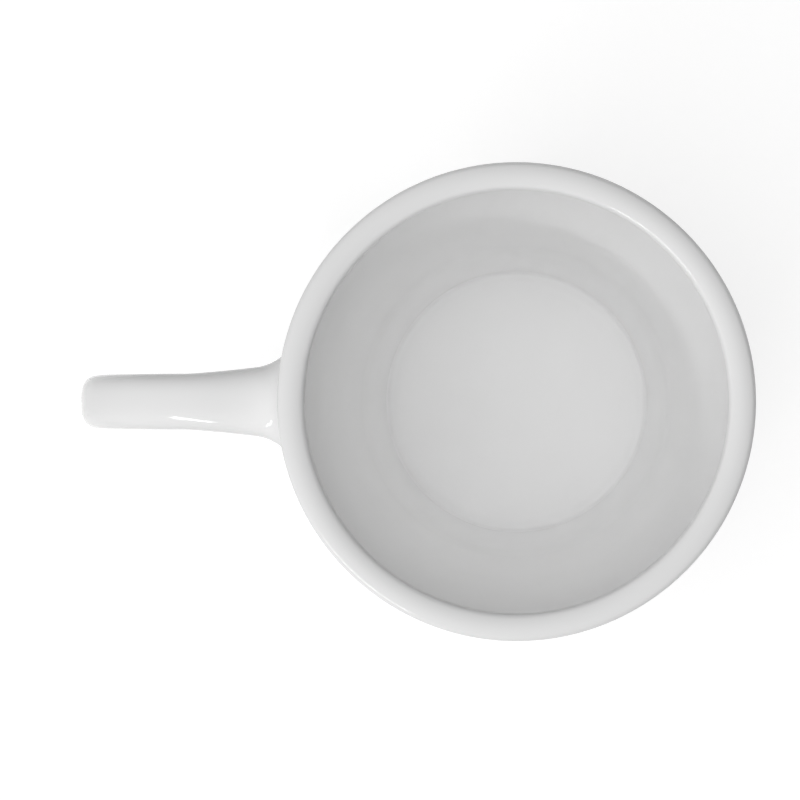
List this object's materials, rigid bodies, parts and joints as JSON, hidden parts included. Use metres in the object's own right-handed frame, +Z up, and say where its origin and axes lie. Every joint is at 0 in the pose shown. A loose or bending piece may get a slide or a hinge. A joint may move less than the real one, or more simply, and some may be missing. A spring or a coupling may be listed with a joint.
{
  "type": "coffee mug",
  "caption": "White glazed ceramic mug: a cup with a gently leaning wall, a rounded rim, a foot ring and a C-shaped side handle.",
  "frame": {"origin": "centre of the foot ring's flat face, on the cup's axis, where the mug meets the table", "axes": "+Z up along the cup's axis towards the rim, +X from the axis through the middle of the handle, +Y to the left of the handle"},
  "size_m": [0.1223, 0.082, 0.095],
  "materials": {
    "white_glaze": "clear gloss glaze over a white ceramic body, bare and matt only on the foot ring",
    "glazed_slip": "fired slip under the same clear gloss glaze"
  },
  "bodies": {
    "root": {"body": "white_glaze", "handle": "white_glaze", "upper_slip_joint": "glazed_slip", "lower_slip_joint": "glazed_slip"}
  },
  "joints": []
}
